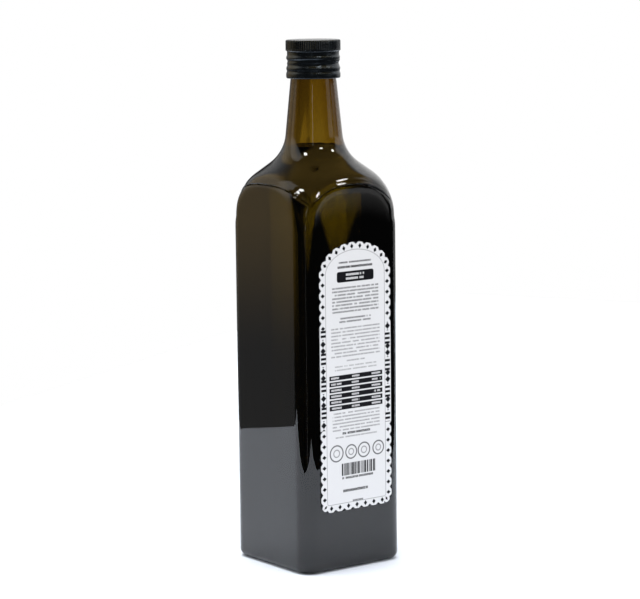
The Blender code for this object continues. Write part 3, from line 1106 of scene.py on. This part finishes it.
def painted_shade_finish(graph, x, y, z):
    """Painted shade: black that darkens the glass in front of it low down, with a slanting clear part high
    up.
    """
    left = graph.ramp(x - 0.32 * (202 - z), 7.5, 11.0)
    right = 1 - graph.ramp(x + 0.38 * (204 - z), 34.0, 37.0)
    window = left * right * graph.ramp(z, 150.0, 212.0)
    sockets = {"Base Color": PAINTED_SHADE_BLACK, "Roughness": CARD_ROUGHNESS}
    dark = graph.node("ShaderNodeBsdfPrincipled", None, sockets)
    clear = graph.node("ShaderNodeBsdfTransparent")
    return graph.node("ShaderNodeMixShader", None, {0: window, 1: dark, 2: clear})


def painted_glow_finish(graph, x, y, z):
    """Painted glow: lit from within though it is no lamp, brightest high up towards the back, so the glass in
    front looks lit.
    """
    # Painted glow: where the card shines into the glass
    glow = graph.ramp(z, 95.0, 205.0) * graph.ramp(y, -14.0, 24.0) * (1 - 0.5 * graph.ramp(y, 26.0, 36.0))
    return graph.node(
        "ShaderNodeBsdfPrincipled",
        None,
        {
            "Base Color": PAINTED_SHADE_BLACK,
            "Roughness": CARD_ROUGHNESS,
            "Emission Color": graph.mix(glow, BLACK, WHITE),
            "Emission Strength": PAINTED_GLOW_BRIGHTNESS,
        },
    )


def make_cards():
    """Cards behind the two far walls: painted shade behind the back wall, a painted glow behind the side
    wall.
    """
    off = BODY_HALF + CARD_GAP
    make_card("painted_shade_card", (-off, off, 0.0), (off, off, CARD_TOP_Z), painted_shade_finish)
    make_card("painted_glow_card", (off, -off, 0.0), (off, off, CARD_TOP_Z), painted_glow_finish)


def direction(azimuth, elevation):
    """Unit vector to a place round the bottle: azimuth 0 is towards -Y and 90 towards +X, in degrees."""
    a, e = radians(azimuth), radians(elevation)
    return sin(a) * cos(e), -cos(a) * cos(e), sin(e)


# Small lamps that the glass mirrors: azimuth, elevation, radius in degrees and brightness
LAMPS = (
    (-79.0, 57.0, 3.8, 25.0),
    (-6.0, 41.0, 3.5, 25.0),
    (43.0, 39.0, 3.5, 25.0),
)


def make_world():
    """White round the bottle; what its surfaces mirror is a dim room with soft panels and a few lamps."""
    world = bpy.data.worlds.new("studio")
    bpy.context.scene.world = world
    graph = Graph(world)
    ray = graph.node("ShaderNodeLightPath").socket.node
    rays = {socket.name: Wire(graph, socket) for socket in ray.outputs}
    vector = graph.node("ShaderNodeTexCoord", output="Generated")
    x, y, z = graph.split(vector)
    flat = (x * x + y * y).at_least(1e-6).sqrt()
    hx = x / flat
    hy = y / flat

    def towards(azimuth):
        """Cosine of the angle from an azimuth, level with the horizon."""
        a = radians(azimuth)
        return hx * sin(a) - hy * cos(a)

    # Soft panels, seen in the walls, the dome and the neck
    wall = graph.ramp(towards(-168.0), 0.8, 0.91) * (1 - graph.ramp(z, 0.55, 0.95))
    wall = wall * (0.2 + 0.32 * graph.ramp(z, -0.06, 0.3))
    far = graph.ramp(towards(115.0), 0.788, 0.848)
    near = graph.ramp(towards(100.0), 0.64, 0.78) * graph.ramp(z, 0.0, 0.15)
    right = far.at_least(near) * (1 - graph.ramp(z, 0.56, 0.68)) * graph.ramp(z, -0.3, 0.1)
    left = graph.ramp(towards(-116.0), 0.839, 0.946) * graph.ramp(towards(-150.0), 0.6, 0.67)
    left = left * graph.ramp(z - 2 * (1 - towards(-150.0)), -0.2, 0.2) * (1 - graph.ramp(z, 0.88, 0.93))
    strip = graph.ramp(towards(-42.0), 0.99897, 0.99978) * (1 - graph.ramp(z, 0.5, 0.6))
    strip = strip * (graph.ramp(z, 0.08, 0.14) + 0.25 * (1 - graph.ramp(z, -0.08, -0.02)))
    front = graph.ramp(towards(37.0), 0.975, 0.99) * graph.ramp(z, -0.1, -0.04)
    front = front * (1 - graph.ramp(z, 0.08, 0.2))
    seen = wall.at_least(right).at_least(left).at_least(strip).at_least(0.65 * front) + 0.025
    for azimuth, elevation, radius, brightness in LAMPS:
        a, b, c = direction(azimuth, elevation)
        near = x * a + y * b + z * c
        seen = seen + brightness * graph.ramp(near, cos(radians(radius * 1.15)), cos(radians(radius)))
    # Warm light, from the ceiling and from the left
    ceiling = graph.ramp(z - 0.3 * (0.866 * y - 0.5 * x), 0.62, 0.8)
    glow = graph.ramp(towards(-145.0), 0.8, 0.95) * graph.ramp(z, -0.165, -0.1)
    glow = glow * (1 - graph.ramp(z, 0.8, 0.95))
    warm = ceiling.at_least(glow * (0.75 + 0.5 * graph.ramp(z, 0.2, 0.6)))
    # What shows through the glass
    behind = graph.ramp(towards(112.0), 0.819, 0.8425)
    through = behind.at_least(0.5 * graph.ramp(towards(143.0), 0.3, 0.9))
    through = (0.02 + through) * (graph.ramp(z, -0.42, -0.3) + graph.ramp(0 - z, 0.72, 0.85))
    crossed = rays["Is Transmission Ray"]
    mirrored = rays["Is Glossy Ray"] * (1 - crossed)
    plain = 1 - mirrored - crossed

    def channel(warmth):
        return plain + mirrored * (seen + warmth * warm) + crossed * through

    tone = graph.node("ShaderNodeCombineColor", None, {0: channel(0.52), 1: channel(0.33), 2: channel(0.06)})
    surface = graph.node("ShaderNodeBackground", None, {"Color": tone, "Strength": 1.0})
    graph.node("ShaderNodeOutputWorld", None, {"Surface": surface})


AIM_Z = 140.0 * MM


def make_light(name, azimuth, elevation, distance, size, power):
    """Soft square light aimed at the bottle's middle, not seen in the glass."""
    data = bpy.data.lights.new(name, "AREA")
    data.shape = "SQUARE"
    data.size = size
    data.energy = power
    light = bpy.data.objects.new(name, data)
    aim = Vector((0.0, 0.0, AIM_Z))
    back = Vector(direction(azimuth, elevation))
    light.location = aim + back * distance
    light.rotation_euler = back.to_track_quat("Z", "Y").to_euler()
    light.visible_glossy = False
    light.visible_transmission = False
    light.visible_camera = False
    bpy.context.scene.collection.objects.link(light)


class BOTTLE_OT_stage(bpy.types.Operator):
    """Makes the floor, the cards of painted shade and glow behind the glass, the soft lights, the
    surroundings and the camera
    """

    bl_idname = "bottle.stage"
    bl_label = "Stage"

    def execute(self, context):
        settings = context.scene.bottle_stage
        make_floor(settings.floor)
        make_cards()
        make_world()
        make_light("above", azimuth=-150.0, elevation=84.0, distance=1.4, size=1.0, power=27.0)
        make_light("front", azimuth=10.0, elevation=30.0, distance=1.6, size=0.7, power=2.0)
        make_camera(settings.lens)
        context.scene.view_settings.view_transform = "Standard"
        return {"FINISHED"}


class BOTTLE_PT_panel(bpy.types.Panel):
    """Lists the bottle's pieces"""

    bl_idname = "BOTTLE_PT_panel"
    bl_label = "Bottle"
    bl_space_type = "VIEW_3D"
    bl_region_type = "UI"
    bl_category = "Bottle"

    def draw(self, context):
        for operator in OPERATORS:
            self.layout.operator(operator.bl_idname)


SETTINGS = {
    "bottle_glass": GlassSettings,
    "bottle_oil": OilSettings,
    "bottle_cap": CapSettings,
    "bottle_label": LabelSettings,
    "bottle_stage": StageSettings,
}
OPERATORS = (BOTTLE_OT_glass, BOTTLE_OT_oil, BOTTLE_OT_cap, BOTTLE_OT_label, BOTTLE_OT_stage)


def register():
    for name, group in SETTINGS.items():
        bpy.utils.register_class(group)
        setattr(bpy.types.Scene, name, bpy.props.PointerProperty(type=group))
    for operator in OPERATORS:
        bpy.utils.register_class(operator)
    bpy.utils.register_class(BOTTLE_PT_panel)


def unregister():
    bpy.utils.unregister_class(BOTTLE_PT_panel)
    for operator in reversed(OPERATORS):
        bpy.utils.unregister_class(operator)
    for name, group in SETTINGS.items():
        delattr(bpy.types.Scene, name)
        bpy.utils.unregister_class(group)


def main():
    register()
    bpy.ops.bottle.glass()
    bpy.ops.bottle.oil()
    bpy.ops.bottle.cap()
    bpy.ops.bottle.label()
    bpy.ops.bottle.stage()


if __name__ == "__main__":
    main()
